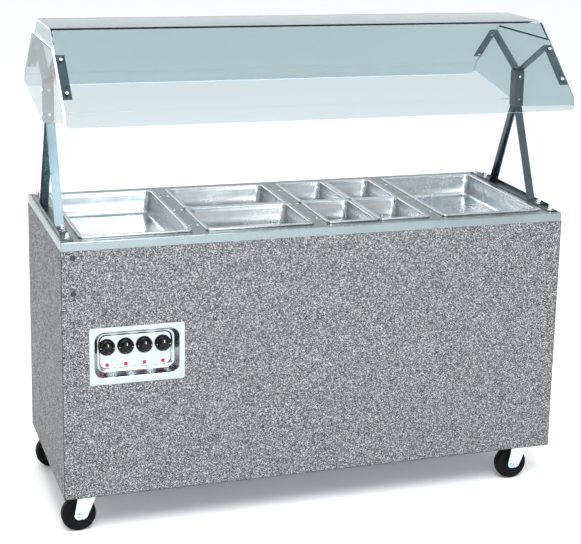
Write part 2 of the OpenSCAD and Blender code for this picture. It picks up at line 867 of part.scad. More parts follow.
counter_top();
front_panel();
rear_panel();
end_panel(-1);  // left_end_panel
end_panel(1);  // right_end_panel
cabinet_frame();
floor_pan();
panel_screws();
front_hole_plugs();
cord_gland();
well(0);  // well_1
well(1);  // well_2
well(2);  // well_3
well(3);  // well_4
heating_elements();
adapter_bars();
wire_duct();
control_box();
control_recess();
infinite_switches();
lamp_holders();
indicator_lenses();
switch_shaft(0);  // switch_shaft_1
switch_shaft(1);  // switch_shaft_2
switch_shaft(2);  // switch_shaft_3
switch_shaft(3);  // switch_shaft_4
knob(0);  // knob_1
knob(1);  // knob_2
knob(2);  // knob_3
knob(3);  // knob_4
full_pan(0);  // full_pan_left
half_pan(-1);  // half_pan_front
half_pan(1);  // half_pan_rear
full_pan(3);  // full_pan_right
quarter_pan(-1, -1);  // quarter_pan_front_left
quarter_pan(1, -1);  // quarter_pan_front_right
quarter_pan(-1, 1);  // quarter_pan_rear_left
quarter_pan(1, 1);  // quarter_pan_rear_right
guard_shield();
guard_bases();
guard_legs();
guard_posts();
guard_arms();
guard_screws();
guard_nuts();
caster_plates();
caster_bolts();
caster_fork(0);  // caster_fork_1
caster_fork(1);  // caster_fork_2
caster_fork(2);  // caster_fork_3
caster_fork(3);  // caster_fork_4
caster_axle(0);  // caster_axle_1
caster_axle(1);  // caster_axle_2
caster_axle(2);  // caster_axle_3
caster_axle(3);  // caster_axle_4
caster_wheel(0);  // caster_wheel_1
caster_wheel(1);  // caster_wheel_2
caster_wheel(2);  // caster_wheel_3
caster_wheel(3);  // caster_wheel_4
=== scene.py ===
"""Looks of a four-well hot food table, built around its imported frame.

Lengths are millimetres, in the frame's axes, until place() or set_scale() turns them into metres.
"""

import json
from math import cos, pi, radians, sin, sqrt, tau

import bmesh
import bpy
from mathutils import Matrix, Vector

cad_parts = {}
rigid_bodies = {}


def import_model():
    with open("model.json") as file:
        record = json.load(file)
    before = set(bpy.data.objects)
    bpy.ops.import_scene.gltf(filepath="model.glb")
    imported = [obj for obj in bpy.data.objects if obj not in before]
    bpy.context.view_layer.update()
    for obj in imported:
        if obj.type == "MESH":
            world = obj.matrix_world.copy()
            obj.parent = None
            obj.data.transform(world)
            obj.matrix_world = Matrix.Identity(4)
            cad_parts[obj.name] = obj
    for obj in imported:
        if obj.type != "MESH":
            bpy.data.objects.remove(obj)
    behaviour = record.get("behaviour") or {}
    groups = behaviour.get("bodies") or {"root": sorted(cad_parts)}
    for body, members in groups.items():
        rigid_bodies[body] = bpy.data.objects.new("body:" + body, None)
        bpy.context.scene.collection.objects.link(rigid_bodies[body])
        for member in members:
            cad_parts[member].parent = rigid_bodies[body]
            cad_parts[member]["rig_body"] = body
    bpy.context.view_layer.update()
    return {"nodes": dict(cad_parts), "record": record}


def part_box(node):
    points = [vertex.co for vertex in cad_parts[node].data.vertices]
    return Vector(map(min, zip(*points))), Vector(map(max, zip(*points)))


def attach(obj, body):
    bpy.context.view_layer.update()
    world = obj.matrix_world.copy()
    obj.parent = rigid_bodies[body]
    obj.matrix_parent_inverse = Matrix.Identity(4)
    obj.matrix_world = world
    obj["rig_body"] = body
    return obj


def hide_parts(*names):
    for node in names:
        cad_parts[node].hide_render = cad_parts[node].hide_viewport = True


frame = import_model()
MM = 0.001
SCENE = bpy.context.scene
SLOT_OF = {part["node"]: part["material_slot"] for part in frame["record"]["subparts"]}

# Shield profile: half width and drop below the top, for the ridge, the lower bend and the lip
GUARD_RIDGE = 124
GUARD_BEND = (354, 195)
GUARD_LIP = (366, 235)
GUARD_T = 6
FLAP_H = 54
SHIELD_SCREWS = (113, 233)
# Heights of an end panel's top edge and of its lower corners on the lip, and of the bolts in a post
END_PANEL = (1390, 1217)
POST_BOLTS = (1180, 1250)
# Control panel: mouth and floor of the recess as half width, half height and corner radius
MOUTH = (120, 65, 27)
RECESS_FLOOR = (107, 53.5, 18)
RECESS_RISE = 2
# Pressed marks between the wells: rows along Y, and each mark's distance from the strip's middle
MARK_ROWS = (-196, -8, 176)
MARK_OFFSET = 12
# Sheet thicknesses
COUNTER_T = 1.3
WELL_T = 1.2
PRESSED_T = 1.1
# Speckle: cells per metre of the large chips, the small chips and the patches of hue
LARGE_CHIPS, SMALL_CHIPS, HUE_PATCHES = 430, 760, 230
# Cells are twice as long from front to back, so that the end panels' speckle shows at an angle
CHIP_STRETCH = (1, 0.5, 1)
# Lower than the 1.49 of acrylic, which doubles the arms seen through the sheet
SHEET_IOR = 1.12
EDGE_IOR = 1.49
# Camera: place in metres, angles in degrees, lens in millimetres, shift in frame widths
CAMERA_AT = (-1.4103, -4.3392, 1.9621)
CAMERA_TURN, CAMERA_DOWN, CAMERA_ROLL = 19.69, 13.32, 1.54
CAMERA_LENS = 94.73
CAMERA_SHIFT = (-0.08, -0.12)
FLOOR_REACH = 15


# ---------------------------------------------------------------- materials


def set_stops(band, stops):
    """Gives a colour ramp its (position, colour) stops."""
    while len(band.elements) < len(stops):
        band.elements.new(0.5)
    for element, (position, colour) in zip(band.elements, stops):
        element.position = position
        element.color = (*colour, 1)


class Recipe:
    """A material being built: one Principled shader and the texture nodes that feed it."""

    def __init__(self, name, colour, roughness, metallic=0.0, **uniform):
        self.material = bpy.data.materials.new(name)
        self.material.use_nodes = True
        self.tree = self.material.node_tree
        self.shader = self.tree.nodes["Principled BSDF"]
        self.set("Base Color", (*colour, 1))
        self.set("Roughness", roughness)
        self.set("Metallic", metallic)
        for socket, value in uniform.items():
            self.set(socket.replace("_", " "), value)
        self.where = self.tree.nodes.new("ShaderNodeTexCoord").outputs["Object"]

    def set(self, socket, value):
        self.shader.inputs[socket].default_value = value

    def feed(self, socket, source):
        self.tree.links.new(source, self.shader.inputs[socket])

    def add(self, kind, inputs, **settings):
        node = self.tree.nodes.new(kind)
        for key, value in settings.items():
            setattr(node, key, value)
        for key, value in inputs.items():
            if isinstance(value, bpy.types.NodeSocket):
                self.tree.links.new(value, node.inputs[key])
            else:
                node.inputs[key].default_value = value
        return node

    def stretched(self, stretch):
        return self.add("ShaderNodeMapping", {"Vector": self.where, "Scale": stretch}).outputs[0]

    def noise(self, scale, detail=2.0, stretch=(1, 1, 1), rough=0.5):
        inputs = {"Vector": self.stretched(stretch), "Scale": scale, "Detail": detail,
                  "Roughness": rough}
        return self.add("ShaderNodeTexNoise", inputs).outputs["Fac"]

    def chips(self, scale):
        """Random grey of the cell that a point falls in."""
        inputs = {"Vector": self.stretched(CHIP_STRETCH), "Scale": scale}
        cells = self.add("ShaderNodeTexVoronoi", inputs)
        return self.add("ShaderNodeSeparateColor", {"Color": cells.outputs["Color"]}).outputs[0]

    def between(self, value, low, high, start=0.0, end=1.0):
        """Maps start..end to low..high."""
        inputs = {"Value": value, "From Min": start, "From Max": end,
                  "To Min": low, "To Max": high}
        return self.add("ShaderNodeMapRange", inputs).outputs[0]

    def ramp(self, value, stops, stepped=False):
        node = self.add("ShaderNodeValToRGB", {"Fac": value})
        node.color_ramp.interpolation = "CONSTANT" if stepped else "LINEAR"
        set_stops(node.color_ramp, stops)
        return node.outputs["Color"]

    def blend(self, factor, one, other, way="MIX"):
        node = self.add("ShaderNodeMix", {"Factor": factor}, data_type="RGBA", blend_type=way)
        for index, value in ((6, one), (7, other)):
            if isinstance(value, bpy.types.NodeSocket):
                self.tree.links.new(value, node.inputs[index])
            else:
                node.inputs[index].default_value = (*value, 1)
        return node.outputs[2]

    def relief(self, height, depth, strength=1.0):
        """Bump of the given depth in millimetres."""
        inputs = {"Height": height, "Distance": depth * MM, "Strength": strength}
        self.feed("Normal", self.add("ShaderNodeBump", inputs).outputs[0])


def brushed(name, colour, roughness, grain, depth=0.02, smear=0.08, blotch=0.06):
    """Satin stainless steel: fine lines along one axis, with soft smears in gloss and tone."""
    recipe = Recipe(name, colour, roughness, 1.0, Anisotropic=0.35)
    lines = recipe.noise(3.0, 3.0, grain, 0.6)
    smears = recipe.noise(9.0, 4.0, (1, 1, 1), 0.6)
    fine = recipe.between(lines, -0.05, 0.05)
    gloss = recipe.between(smears, roughness - smear, roughness + smear, 0.3, 0.7)
    total = recipe.add("ShaderNodeMath", {0: fine, 1: gloss}, operation="ADD").outputs[0]
    recipe.feed("Roughness", total)
    dark = tuple(c * (1 - 2 * blotch) for c in colour)
    tone = recipe.blend(recipe.between(smears, 0, 1, 0.35, 0.65), dark, colour)
    bright = tuple(min(1.0, c * 2) for c in colour)
    streaked = recipe.blend(recipe.between(lines, 0.0, 0.16), tone, bright)
    recipe.feed("Base Color", streaked)
    recipe.relief(lines, depth)
    return recipe.material


def speckled_laminate():
    """Granite-pattern vinyl: random chips from near black to pale grey, with a faint relief."""
    recipe = Recipe("speckled_vinyl", (0.33, 0.33, 0.34), 0.5, Specular_IOR_Level=0.12)
    tones = ((0.0, 0.003), (0.17, 0.015), (0.34, 0.065), (0.54, 0.15), (0.73, 0.31), (0.89, 0.58))
    stops = [(at, (g, g * 1.005, g * 1.03)) for at, g in tones]
    coarse = recipe.ramp(recipe.chips(LARGE_CHIPS), stops, stepped=True)
    fine = recipe.ramp(recipe.chips(SMALL_CHIPS), stops, stepped=True)
    speckle = recipe.blend(0.42, coarse, fine)
    hues = [(0.0, (1.0, 0.95, 0.93)), (0.5, (0.97, 1.0, 0.97)), (1.0, (0.94, 0.95, 1.03))]
    hue = recipe.ramp(recipe.chips(HUE_PATCHES), hues)
    worn = recipe.between(recipe.noise(3.2, 3.0), 0.0, 0.16, 0.35, 0.75)
    tinted = recipe.blend(1.0, speckle, hue, "MULTIPLY")
    recipe.feed("Base Color", recipe.blend(worn, tinted, (0.115, 0.117, 0.122)))
    recipe.feed("Roughness", recipe.between(recipe.noise(40, 3.0), 0.42, 0.6, 0.3, 0.7))
    recipe.relief(recipe.noise(420, 2.0), 0.05, 0.6)
    return recipe.material


def clear_acrylic():
    """Clear sheet with a faint blue-grey cast, which lets the lamps' light through unbent."""
    recipe = Recipe("clear_sheet", (0.66, 0.735, 0.765), 0.02, Transmission_Weight=1.0,
                    IOR=SHEET_IOR)
    haze = recipe.noise(14, 5.0, (1, 1, 1), 0.7)
    recipe.feed("Roughness", recipe.between(haze, 0.0, 0.045, 0.4, 0.8))
    tree = recipe.tree
    open_to_light = recipe.add("ShaderNodeBsdfTransparent", {"Color": (0.86, 0.9, 0.92, 1)})
    path = recipe.add("ShaderNodeLightPath", {})
    both = tree.nodes.new("ShaderNodeMixShader")
    tree.links.new(path.outputs["Is Shadow Ray"], both.inputs[0])
    tree.links.new(recipe.shader.outputs[0], both.inputs[1])
    tree.links.new(open_to_light.outputs[0], both.inputs[2])
    tree.links.new(both.outputs[0], tree.nodes["Material Output"].inputs["Surface"])
    return recipe.material


def cut_edge():
    """Sawn and buffed edge of the clear sheet, which gathers light and looks milky."""
    recipe = Recipe("sheet_edge", (0.86, 0.88, 0.93), 0.28, IOR=EDGE_IOR)
    saw = recipe.noise(2.0, 2.0, (400, 60, 60))
    recipe.feed("Base Color", recipe.blend(recipe.between(saw, 0, 0.25), (0.86, 0.88, 0.93),
                                           (0.62, 0.68, 0.75)))
    recipe.relief(saw, 0.03)
    return recipe.material


def enamel(name, colour, roughness=0.42):
    """Baked paint with dull patches and a fine orange peel."""
    recipe = Recipe(name, colour, roughness, Coat_Weight=0.25, Coat_Roughness=0.2)
    patches = recipe.noise(18, 4.0)
    dull = tuple(c * 0.72 for c in colour)
    recipe.feed("Base Color", recipe.blend(recipe.between(patches, 0, 1, 0.35, 0.65), dull, colour))
    recipe.feed("Roughness", recipe.between(patches, roughness - 0.07, roughness + 0.1))
    recipe.relief(recipe.noise(700, 2.0), 0.04, 0.5)
    return recipe.material


def galvanised(name, colour, scale=55):
    """Zinc coat with spangles: each crystal has its own tone and gloss."""
    recipe = Recipe(name, colour, 0.42, 0.9)
    crystal = recipe.chips(scale)
    dim = tuple(c * 0.7 for c in colour)
    recipe.feed("Base Color", recipe.blend(crystal, dim, colour))
    recipe.feed("Roughness", recipe.between(crystal, 0.3, 0.55))
    recipe.relief(recipe.noise(220, 3.0), 0.03)
    return recipe.material


def plated(name, colour, roughness, tarnish=0.25):
    """Bright plating or polished stainless with handling marks."""
    recipe = Recipe(name, colour, roughness, 1.0)
    marks = recipe.noise(90, 5.0, (1, 1, 1), 0.65)
    dim = tuple(c * (1 - tarnish) for c in colour)
    recipe.feed("Base Color", recipe.blend(recipe.between(marks, 0, 1, 0.35, 0.65), dim, colour))
    recipe.feed("Roughness", recipe.between(marks, roughness * 0.7, roughness * 1.5))
    recipe.relief(marks, 0.02)
    return recipe.material


def moulded(name, colour, roughness, grain=600, depth=0.02, **uniform):
    """Moulded plastic or phenolic: fine grain, uneven gloss and rubbed patches."""
    recipe = Recipe(name, colour, roughness, **uniform)
    rubbed = recipe.noise(60, 4.0)
    pale = tuple(min(1.0, c * 1.6 + 0.002) for c in colour)
    recipe.feed("Base Color", recipe.blend(recipe.between(rubbed, 0, 0.7, 0.4, 0.8), colour, pale))
    recipe.feed("Roughness", recipe.between(rubbed, roughness * 0.75, roughness * 1.35))
    recipe.relief(recipe.noise(grain, 2.0), depth)
    return recipe.material


def rubber():
    """Black tyre rubber with floor dust on it."""
    recipe = Recipe("tyre_rubber", (0.004, 0.004, 0.0045), 0.6, Specular_IOR_Level=0.12)
    dust = recipe.noise(70, 5.0, (1, 1, 1), 0.7)
    grey = recipe.blend(recipe.between(dust, 0, 0.6, 0.5, 0.85), (0.003, 0.0032, 0.0036),
                        (0.014, 0.014, 0.014))
    recipe.feed("Base Color", grey)
    recipe.feed("Roughness", recipe.between(dust, 0.45, 0.75))
    recipe.relief(recipe.noise(500, 3.0), 0.05)
    return recipe.material


def red_lens():
    """Red lamp plastic, a little uneven in colour and face."""
    recipe = Recipe("lens_red", (0.36, 0.01, 0.014), 0.16, Specular_IOR_Level=0.3)
    ripple = recipe.noise(350, 1.0)
    recipe.feed("Base Color", recipe.blend(recipe.between(ripple, 0, 1), (0.22, 0.003, 0.006),
                                           (0.50, 0.02, 0.022)))
    recipe.relief(ripple, 0.08)
    return recipe.material


MATERIALS = {
    "counter_steel": brushed("counter_sheet", (0.255, 0.31, 0.32), 0.27, (6, 260, 260)),
    "speckled_laminate": speckled_laminate(),
    "painted_frame": enamel("frame_enamel", (0.20, 0.22, 0.24)),
    "galvanised_sheet": galvanised("spangled_sheet", (0.52, 0.55, 0.57)),
    "zinc_fasteners": plated("zinc_hardware", (0.62, 0.64, 0.67), 0.3),
    "black_plastic": moulded("plug_black", (0.01, 0.01, 0.011), 0.38),
    "grey_nylon": moulded("gland_nylon", (0.10, 0.105, 0.11), 0.45),
    "element_sheath": plated("burnt_sheath", (0.20, 0.18, 0.165), 0.45, 0.5),
    "panel_steel": brushed("panel_sheet", (0.41, 0.45, 0.47), 0.2, (6, 260, 260), 0.012, 0.04,
                           0.02),
    "switch_body": moulded("switch_phenolic", (0.03, 0.028, 0.026), 0.5),
    "red_lens": red_lens(),
    "clear_acrylic": clear_acrylic(),
    "bracket_steel": brushed("bracket_bar", (0.085, 0.108, 0.12), 0.3, (240, 240, 8)),
    "bright_fasteners": plated("polished_hardware", (0.86, 0.88, 0.9), 0.16, 0.1),
    "caster_zinc": plated("caster_plating", (0.70, 0.86, 0.92), 0.3, 0.12),
    "well_steel": galvanised("well_sheet", (0.56, 0.57, 0.57), 40),
    "shaft_brass": plated("turned_brass", (0.66, 0.48, 0.2), 0.25),
    "knob_phenolic": moulded("knob_black", (0.001, 0.0014, 0.0016), 0.16, 500, 0.008,
                             Specular_IOR_Level=0.22),
    "pan_steel": brushed("pan_sheet", (0.43, 0.455, 0.47), 0.24, (40, 40, 40), 0.01, 0.05, 0.03),
    "wheel_rubber": rubber(),
}
EDGE = cut_edge()
# Pale colour of the small marks on the knobs' skirts and grips
KNOB_PALE_MARKS = moulded("knob_pale_mark", (0.75, 0.76, 0.76), 0.5)
# Near-black colour of the strips along the cabinet panels' bottom edges and up their corners
DARK_EDGE_STRIPS = moulded("dark_edge_strip_black", (0.006, 0.006, 0.007), 0.6)


# ---------------------------------------------------------------- mesh tools


def box_mm(node):
    """The CAD node's box, as (low, high) in millimetres."""
    low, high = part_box(node)
    return low / MM, high / MM


def place(name, shape, like, replaces=(), material=None, crease=32):
    """Makes a piece from (vertices, faces), riding with the CAD node it is like."""
    vertices, faces = shape
    mesh = bpy.data.meshes.new(name)
    work = bmesh.new()
    made = [work.verts.new(Vector(v) * MM) for v in vertices]
    for face in faces:
        if len(set(face)) > 2:
            work.faces.new([made[i] for i in face])
    bmesh.ops.remove_doubles(work, verts=work.verts, dist=1e-7)
    bmesh.ops.recalc_face_normals(work, faces=work.faces)
    work.to_mesh(mesh)
    work.free()
    mesh.shade_smooth()
    mesh.set_sharp_from_angle(angle=radians(crease))
    mesh.materials.append(material or MATERIALS[SLOT_OF[like]])
    return adopt(bpy.data.objects.new(name, mesh), like, replaces)


def adopt(piece, like, replaces=()):
    """Puts a piece on the body of the CAD node it is like, and hides the nodes it replaces."""
    SCENE.collection.objects.link(piece)
    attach(piece, frame["nodes"][like]["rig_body"])
    if replaces:
        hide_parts(*replaces)
    return piece


def merged(shapes):
    """Several (vertices, faces) as one."""
    vertices, faces = [], []
    for more_vertices, more_faces in shapes:
        start = len(vertices)
        vertices += more_vertices
        faces += [[i + start for i in face] for face in more_faces]
    return vertices, faces


def moved(shape, matrix):
    return [matrix @ Vector(v) for v in shape[0]], shape[1]


def at(x, y, z):
    return Matrix.Translation((x, y, z))


def facing(direction):
    """Turns +Z to the given direction."""
    return Vector((0, 0, 1)).rotation_difference(Vector(direction)).to_matrix().to_4x4()


def loft(loops, cap_first=False, cap_last=False, closed=True):
    """Skin over loops with the same number of points."""
    count = len(loops[0])
    vertices = [point for loop in loops for point in loop]
    faces = []
    for k in range(len(loops) - 1):
        for j in range(count if closed else count - 1):
            a, b = k * count + j, k * count + (j + 1) % count
            faces.append([a, b, b + count, a + count])
    if cap_first:
        faces.append(list(range(count))[::-1])
    if cap_last:
        faces.append([(len(loops) - 1) * count + j for j in range(count)])
    return vertices, faces


def rounded(half_u, half_v, radius, steps=7):
    """Round-cornered rectangle, anticlockwise."""
    points = []
    for k, (u, v) in enumerate(((1, 1), (-1, 1), (-1, -1), (1, -1))):
        for j in range(steps + 1):
            a = pi / 2 * (k + j / steps)
            points.append((u * (half_u - radius) + radius * cos(a),
                           v * (half_v - radius) + radius * sin(a)))
    return points


def arc(centre, radius, start, end, steps=6):
    """Points on an arc, angles in degrees."""
    angles = [radians(start + (end - start) * k / steps) for k in range(steps + 1)]
    return [(centre[0] + radius * cos(a), centre[1] + radius * sin(a)) for a in angles]


def lathe(profile, steps=40, wave=None):
    """Turns (radius, height) points about Z. wave(angle, height) scales the radius."""
    loops = []
    for radius, height in profile:
        loop = []
        for k in range(steps):
            a = tau * k / steps
            r = radius * (wave(a, height) if wave else 1)
            loop.append((r * cos(a), r * sin(a), height))
        loops.append(loop)
    return loft(loops)


def extruded(outline, low, high, axis="X"):
    """Prism on a closed outline. For axis X the outline is (y, z), for Z it is (x, y)."""
    if axis == "X":
        loops = [[(x, u, v) for u, v in outline] for x in (low, high)]
    else:
        loops = [[(u, v, z) for u, v in outline] for z in (low, high)]
    return loft(loops, True, True)


def block(low, high):
    outline = [(low[0], low[1]), (high[0], low[1]), (high[0], high[1]), (low[0], high[1])]
    return extruded(outline, low[2], high[2], "Z")


def thicken(piece, thickness, offset=-1.0):
    """Makes a sheet of a surface. Offset -1 grows it inwards, 1 outwards."""
    solid = piece.modifiers.new("sheet", "SOLIDIFY")
    solid.thickness = thickness * MM
    solid.offset = offset
    return piece


def soften(piece, width, segments=2, angle=35):
    """Rounds a piece's sharp edges and keeps its flats flat."""
    bevel = piece.modifiers.new("edges", "BEVEL")
    bevel.width = width * MM
    bevel.segments = segments
    bevel.limit_method = "ANGLE"
    bevel.angle_limit = radians(angle)
    bevel.use_clamp_overlap = True
    piece.modifiers.new("shading", "WEIGHTED_NORMAL").keep_sharp = True
    return piece


def merged_cad(node):
    """The CAD node's mesh with its split vertices welded, to be freed by the caller."""
    source = frame["nodes"][node].data
    work = bmesh.new()
    made = [work.verts.new(v.co) for v in source.vertices]
    for polygon in source.polygons:
        try:
            work.faces.new([made[i] for i in polygon.vertices])
        except ValueError:
            continue
    bmesh.ops.remove_doubles(work, verts=work.verts, dist=1e-6)
    bmesh.ops.recalc_face_normals(work, faces=work.faces)
    return work


def softened(node, width, segments=2):
    """A finished copy of a CAD node with its edges rounded, which stands for it."""
    work = merged_cad(node)
    bmesh.ops.dissolve_limit(work, angle_limit=radians(0.5), verts=work.verts, edges=work.edges)
    mesh = bpy.data.meshes.new(node + "_finished")
    work.to_mesh(mesh)
    work.free()
    mesh.shade_smooth()
    mesh.set_sharp_from_angle(angle=radians(35))
    mesh.materials.append(MATERIALS[SLOT_OF[node]])
    piece = adopt(bpy.data.objects.new(node + "_finished", mesh), node, (node,))
    return soften(piece, width, segments)


def solids_of(node):
    """The box of each separate solid in a CAD node, as (low, high) in millimetres."""
    work = merged_cad(node)
    left, boxes = set(work.verts), []
    while left:
        group, edge = set(), [left.pop()]
        while edge:
            vertex = edge.pop()
            group.add(vertex)
            for link in vertex.link_edges:
                other = link.other_vert(vertex)
                if other in left:
                    left.remove(other)
                    edge.append(other)
        corners = [[v.co[k] / MM for v in group] for k in range(3)]
        boxes.append((Vector([min(c) for c in corners]), Vector([max(c) for c in corners])))
    work.free()
    return sorted(boxes, key=lambda b: tuple(round(c, 1) for c in b[0]))


# ---------------------------------------------------------------- counter and cabinet


def counter_top():
    """One pressed sheet: a turned-down rim with rounded corners, and four rolled openings."""
    low, high = box_mm("counter_top")
    bend, corner = 3.0, 4.0
    roll, lip, ledge = 2.5, 7.0, Vector((11.5, 11.5, 0))
    rim = [(bend * (1 - sin(a)), high.z - bend * (1 - cos(a)))
           for a in [radians(15 * k) for k in range(7)]]
    rim += [(0.0, low.z + 1.0), (0.5, low.z + 0.3), (1.3, low.z)]
    shapes, tops = [], []
    outer = [[(x, y, z) for x, y in rounded(high.x - inset, high.y - inset, corner - inset)]
             for inset, z in rim]
    shapes.append(loft(outer))
    tops.append(outer[0])
    for k in range(1, 5):
        well_low, well_high = box_mm(f"well_{k}")
        centre = (well_low + well_high) / 2
        half = (well_high - well_low) / 2 - ledge
        edge = [(roll * (1 - sin(a)), high.z - roll * (1 - cos(a)))
                for a in [radians(18 * j) for j in range(6)]] + [(0.0, high.z - lip)]
        loops = [[(centre.x + x, centre.y + y, z)
                  for x, y in rounded(half.x + out, half.y + out, 20 + out)] for out, z in edge]
        shapes.append(loft(loops))
        tops.append(loops[0])
    piece = place("counter_sheet", merged(shapes), "counter_top", ("counter_top",))
    fill_between(piece, high.z)
    thicken(piece, COUNTER_T)
    soften(piece, 0.3)


def fill_between(piece, z):
    """Closes the flat at height z between the open loops that lie in it."""
    work = bmesh.new()
    work.from_mesh(piece.data)
    level = [e for e in work.edges
             if e.is_boundary and all(abs(v.co.z / MM - z) < 0.01 for v in e.verts)]
    bmesh.ops.triangle_fill(work, use_beauty=True, use_dissolve=False, edges=level,
                            normal=(0, 0, 1))
    bmesh.ops.recalc_face_normals(work, faces=work.faces)
    if sum(f.normal.z * f.calc_area() for f in work.faces) < 0:
        bmesh.ops.reverse_faces(work, faces=work.faces)
    work.to_mesh(piece.data)
    work.free()
    piece.data.shade_smooth()
    piece.data.set_sharp_from_angle(angle=radians(32))


def pressed_marks():
    """Small raised ovals in pairs on each strip between two wells."""
    top = box_mm("counter_top")[1].z
    half_long, half_wide = 4.2, 1.7
    dome = ((1.0, -0.3), (1.0, 0.05), (0.85, 0.5), (0.5, 0.75), (0.1, 0.8))
    shapes = []
    for k in range(1, 4):
        middle = (box_mm(f"well_{k}")[1].x + box_mm(f"well_{k + 1}")[0].x) / 2
        for y in MARK_ROWS:
            for side in (-1, 1):
                x = middle + side * MARK_OFFSET
                loops = [[(x + half_long * s * cos(a), y + half_wide * s * sin(a), top + h)
                          for a in [tau * j / 20 for j in range(20)]] for s, h in dome]
                shapes.append(loft(loops, True, True))
    place("counter_marks", merged(shapes), "counter_top", material=MATERIALS["bright_fasteners"])


def cabinet():
    """Panels, frame and floor pan with rounded edges, and the panels' dark edge lines."""
    for node in ("front_panel", "rear_panel", "left_end_panel", "right_end_panel"):
        softened(node, 0.7)
    softened("cabinet_frame", 0.6)
    softened("floor_pan", 0.4)
    softened("cord_gland", 0.5)
    low, high = box_mm("front_panel")
    back = box_mm("rear_panel")[1].y
    # Near-black strips along the front and rear panels' bottom edges and up the four corners, a
    # dark line given as colour
    edge, proud, deep = 1.3, 0.25, 0.5
    lines = []
    for y in (low.y - proud, back + proud - deep):
        lines.append(block((low.x + 1, y, low.z - 0.1), (high.x - 1, y + deep, low.z + edge)))
    for x, y in ((low.x, low.y), (high.x, low.y), (low.x, back), (high.x, back)):
        u, v = (1 if x < 0 else -1), (1 if y < 0 else -1)
        across = sorted((x - u * proud, x + u * edge))
        along = sorted((y - v * proud, y + v * edge))
        lines.append(block((across[0], along[0], low.z), (across[1], along[1], high.z - 0.2)))
    place("panel_edge_lines", merged(lines), "front_panel", material=DARK_EDGE_STRIPS)


def hole_plugs():
    """Domed plastic plugs with a snap-in stem."""
    dome = [(0.01, 3.0), (2.5, 2.9), (4.5, 2.4), (6.6, 1.4), (7.8, 0.5), (8.0, 0.0), (5.2, 0.0),
            (5.0, -8.0), (0.01, -8.0)]
    shapes = []
    for low, high in solids_of("front_hole_plugs"):
        centre = (low + high) / 2
        shapes.append(moved(lathe(dome, 32),
                            at(centre.x, low.y + 3, centre.z) @ facing((0, -1, 0))))
    place("hole_plug_caps", merged(shapes), "front_hole_plugs", ("front_hole_plugs",))


def button_head(radius, height, reach, socket=1.6):
    """Domed screw head with a six-sided socket, and its shank going down by reach."""
    rise = [(radius, 0.0), (radius, height * 0.25)]
    rise += [(radius * cos(a), height * (0.25 + 0.75 * sin(a)))
             for a in [radians(15 * k) for k in range(1, 4)]]
    rise += [(socket + 0.5, height), (socket, height * 0.97), (socket, height * 0.4),
             (0.01, height * 0.4)]
    foot = [(0.01, -reach), (radius * 0.45, -reach), (radius * 0.45, 0.0)]

    def six_sided(angle, z):
        return 1 / cos((angle + pi / 6) % (pi / 3) - pi / 6) if z < height * 0.99 else 1

    return merged([lathe(foot + rise[:-3], 36), lathe(rise[-4:], 36, six_sided)])


def hexagon(radius, low, high, chamfer=0.8):
    """Hexagonal nut body with rounded-off corners at its top."""
    def flat(angle):
        return cos(pi / 6) / cos((angle + pi / 6) % (pi / 3) - pi / 6)

    loops = []
    for z, scale, round_off in ((low, 1, 0), (high - chamfer, 1, 0), (high, 0.94, 0.6)):
        loops.append([(radius * scale * r * cos(a), radius * scale * r * sin(a), z)
                      for a in [tau * k / 36 for k in range(36)]
                      for r in [flat(a) * (1 - round_off) + 0.9 * round_off]])
    return loft(loops, True, True)


def rear_screws():
    """Button-head screws of the rear panel."""
    shapes = []
    for low, high in solids_of("panel_screws"):
        centre = (low + high) / 2
        shapes.append(moved(button_head(4.5, 2.5, 11),
                            at(centre.x, high.y - 2.5, centre.z) @ facing((0, 1, 0))))
    place("panel_screw_heads", merged(shapes), "panel_screws", ("panel_screws",))


# ---------------------------------------------------------------- wells and pans


def well(k):
    """Deep-drawn tank with a rounded floor, hung by its flange."""
    node = f"well_{k}"
    low, high = box_mm(node)
    centre = (low + high) / 2
    flange = (high - low) / 2
    half = flange - Vector((10, 10, 0))
    cove, corner = 14, 21
    levels = [(flange, 10, high.z), (half, corner, high.z), (half, corner, low.z + cove)]
    for j in range(1, 6):
        a = radians(18 * j)
        inset = cove - cove * cos(a)
        levels.append((half - Vector((inset, inset, 0)), corner - inset,
                       low.z + cove - cove * sin(a)))
    levels.append((half * 0.3, 6, low.z))
    loops = [[(centre.x + x, centre.y + y, z) for x, y in rounded(size.x, size.y, radius)]
             for size, radius, z in levels]
    piece = place(f"well_tank_{k}", loft(loops, False, True), node, (node,))
    thicken(piece, WELL_T, 1.0)


def pan(node):
    """Pressed pan: flat rim with a rolled edge, stacking shoulder, drawn-in walls, dished floor."""
    low, high = box_mm(node)
    counter = box_mm("counter_top")[1].z
    centre = (low + high) / 2
    half = (high - low) / 2
    lip = counter + 0.4
    roll, mouth, fillet = 2.6, 4.0, 13.0
    wall, foot = 12.6, 19.5
    path = [(0.4, lip, 11.6), (0.0, lip + 0.6, 12)]
    path += [(roll - u, high.z - roll + v, 12 - (roll - u)) for u, v in arc((0, 0), roll, 0, 90)]
    path += [(6.0, high.z - 0.15, 13)]
    path += [(wall - mouth + mouth * sin(a), high.z - mouth * (1 - cos(a)), 14 + 3 * sin(a))
             for a in [radians(18 * j) for j in range(1, 6)]]
    path += [(wall + 0.6, high.z - 17, 18), (wall + 2.6, high.z - 20, 17)]
    path += [(foot - fillet * 0.02, low.z + fillet, 20)]
    path += [(foot + fillet * (1 - cos(a)), low.z + fillet * (1 - sin(a)), 20 - 4 * sin(a))
             for a in [radians(15 * j) for j in range(1, 7)]]
    path += [(foot + fillet + 12, low.z + 1.0, 12), (foot + fillet + 30, low.z + 1.4, 8)]
    loops = [[(centre.x + x, centre.y + y, z + (1.2 if z < lip else 0))
              for x, y in rounded(half.x - inset, half.y - inset, corner, 6)]
             for inset, z, corner in path]
    piece = place(node + "_pressing", loft(loops, False, True), node, (node,))
    thicken(piece, PRESSED_T)


# ---------------------------------------------------------------- controls


